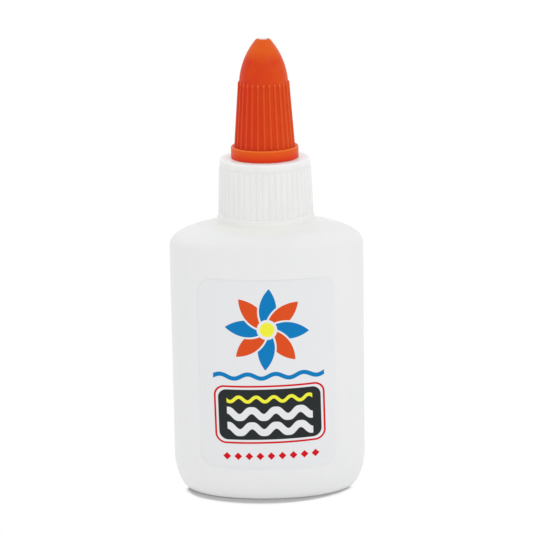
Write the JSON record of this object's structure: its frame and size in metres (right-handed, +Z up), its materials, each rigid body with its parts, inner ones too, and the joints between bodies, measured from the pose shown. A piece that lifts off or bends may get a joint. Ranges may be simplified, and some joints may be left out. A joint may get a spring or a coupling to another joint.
{
  "type": "glue bottle",
  "caption": "Small oval white squeeze bottle of liquid glue with a rounded shoulder, a ribbed screw collar and a tapered twist-open nozzle.",
  "frame": {"origin": "middle of the base, on the plane that the bottle stands on", "axes": "+Z up along the neck and nozzle axis, +X to the right across the label, and the label faces -Y"},
  "size_m": [0.04, 0.027, 0.0946],
  "materials": {
    "bottle_plastic": "satin",
    "glue": "gloss",
    "label_film": "satin",
    "collar_plastic": "satin",
    "washer_foam": "matte",
    "nozzle_plastic": "satin"
  },
  "bodies": {
    "bottle": {"bottle_body": "bottle_plastic", "glue_fill": "glue", "front_label": "label_film"},
    "collar": {"screw_collar": "collar_plastic"},
    "washer": {"sealing_washer": "washer_foam"},
    "nozzle": {"twist_nozzle": "nozzle_plastic"}
  },
  "joints": [
    {"name": "collar_lift", "type": "slide", "parent": "bottle", "child": "collar", "axis": [0, 0, 1], "range_m": [0, 0.03]},
    {"name": "nozzle_turn", "type": "hinge", "parent": "collar", "child": "washer", "pos_m": [0, 0, 0.0678], "axis": [0, 0, 1], "range_deg": [0, 270]},
    {"name": "nozzle_lift", "type": "slide", "parent": "washer", "child": "nozzle", "axis": [0, 0, 1], "range_m": [0, 0.0032]}
  ],
  "couplings": [
    {"joint": "nozzle_turn", "follows": "nozzle_lift", "rad_per_m": 1472.6}
  ]
}
